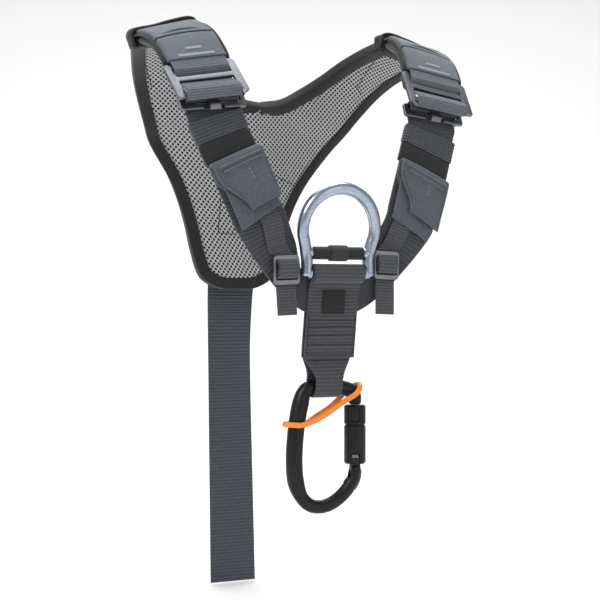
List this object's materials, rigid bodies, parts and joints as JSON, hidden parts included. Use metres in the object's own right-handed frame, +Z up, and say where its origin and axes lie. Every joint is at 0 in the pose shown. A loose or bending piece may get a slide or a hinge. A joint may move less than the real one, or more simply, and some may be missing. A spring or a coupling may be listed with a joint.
{
  "type": "climbing chest harness",
  "caption": "Padded shoulder yoke with threaded steel buckles, chest webbing, omega ring, centre panel with an oval connector, and a rear strap.",
  "frame": {"origin": "midway between the shoulders, at the height where the yoke would rest on them", "axes": "+Z up, front of the wearer towards -Y, wearer's left towards +X"},
  "size_m": [0.2952, 0.2235, 0.4892],
  "materials": {
    "mesh": "open spacer mesh",
    "binding": "matte tape",
    "pad_cloth": "matte woven",
    "sleeve": "matte woven",
    "webbing": "ribbed webbing",
    "elastic": "matte elastic",
    "pouch": "ribbed fabric",
    "steel": "satin",
    "ring": "polished anodised",
    "black": "satin black anodised",
    "rubber": "matte"
  },
  "bodies": {
    "harness": {"yoke_pad": "mesh", "yoke_binding": "binding", "front_pad_right": "pad_cloth", "upper_sleeve_right": "sleeve", "lower_sleeve_right": "sleeve", "crest_band_right": "binding", "shoulder_webbing_right": "sleeve", "buckle_frame_right": "steel", "buckle_plate_right": "steel", "chest_webbing_right": "webbing", "keeper_right": "pouch", "elastic_right": "elastic", "pouch_right": "pouch", "pouch_base_right": "pouch", "adjuster_strap_right": "webbing", "adjuster_right": "steel", "front_pad_left": "pad_cloth", "upper_sleeve_left": "sleeve", "lower_sleeve_left": "sleeve", "crest_band_left": "binding", "shoulder_webbing_left": "sleeve", "buckle_frame_left": "steel", "buckle_plate_left": "steel", "chest_webbing_left": "webbing", "keeper_left": "pouch", "elastic_left": "elastic", "pouch_left": "pouch", "pouch_base_left": "pouch", "adjuster_strap_left": "webbing", "adjuster_left": "steel", "ring": "ring", "ring_wrap": "elastic", "marker_band": "binding", "centre_webbing": "webbing", "label_patch": "binding", "connector_loop": "webbing", "rear_strap": "webbing"},
    "carabiner": {"carabiner_body": "black", "gate_pin": "black", "retainer_band": "rubber"},
    "gate": {"carabiner_gate": "black"},
    "sleeve": {"gate_sleeve": "black"}
  },
  "joints": [
    {"name": "carabiner_swing", "type": "hinge", "parent": "harness", "child": "carabiner", "pos_m": [0, -0.0617, -0.2947], "axis": [1, 0, 0], "range_deg": [-50, 50]},
    {"name": "gate_hinge", "type": "hinge", "parent": "carabiner", "child": "gate", "pos_m": [0.028, -0.0617, -0.3637], "axis": [0, -1, 0], "range_deg": [0, 26], "stiffness_Nm_per_rad": 0.6, "springref_deg": -11.46},
    {"name": "sleeve_twist", "type": "hinge", "parent": "gate", "child": "sleeve", "pos_m": [0.028, -0.0617, -0.333], "axis": [0, 0, 1], "range_deg": [0, 90], "stiffness_Nm_per_rad": 0.03, "springref_deg": -11.46}
  ]
}
